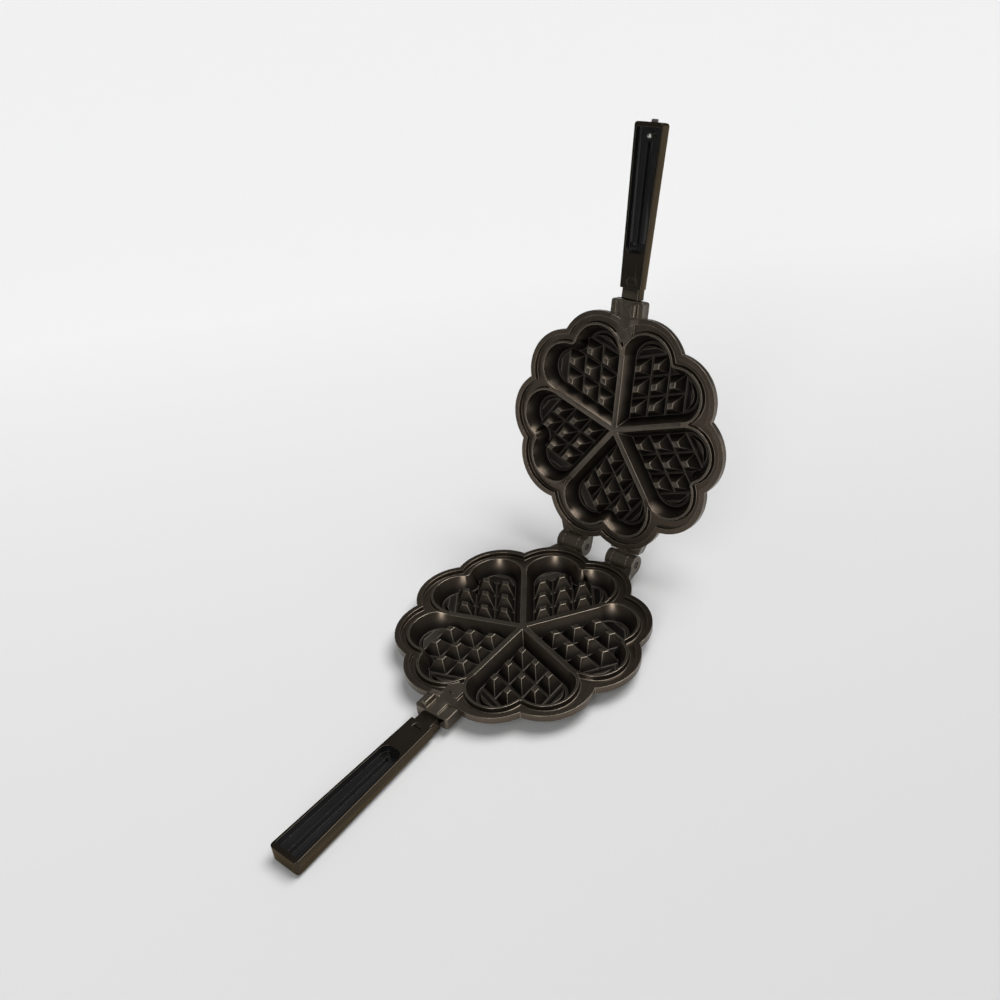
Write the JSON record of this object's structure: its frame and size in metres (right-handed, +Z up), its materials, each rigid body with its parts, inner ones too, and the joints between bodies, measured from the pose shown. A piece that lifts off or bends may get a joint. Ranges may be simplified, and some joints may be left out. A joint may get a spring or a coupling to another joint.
{
  "type": "stovetop waffle iron",
  "caption": "Hinged stovetop waffle iron with heart-shaped moulds in two cast plates and a long moulded handle on each; the lid swings over to bake both sides.",
  "frame": {"origin": "centre of the lower plate's flat resting face, on the table", "axes": "+Z up, +Y towards the hinge, -Y along the lower handle, X along the hinge axis"},
  "size_m": [0.2052, 0.4777, 0.3655],
  "materials": {
    "cast_plate": "cast aluminium with a dark brown non-stick coating, satin",
    "handle": "dark brown-black heat-proof moulding, semi-gloss",
    "steel": "plain steel, slightly darkened"
  },
  "bodies": {
    "base": {"lower_plate": "cast_plate", "lower_handle": "handle", "lower_handle_screw": "steel", "right_hinge_pin": "steel"},
    "lid": {"upper_plate": "cast_plate", "upper_handle": "handle", "upper_handle_screw": "steel", "left_hinge_pin": "steel", "upper_handle_end_strip": "steel", "upper_handle_rivet": "steel"}
  },
  "joints": [
    {"name": "lid_hinge", "type": "hinge", "parent": "base", "child": "lid", "pos_m": [0, 0.1095, 0.0185], "axis": [1, 0, 0], "range_deg": [0, 106]}
  ]
}
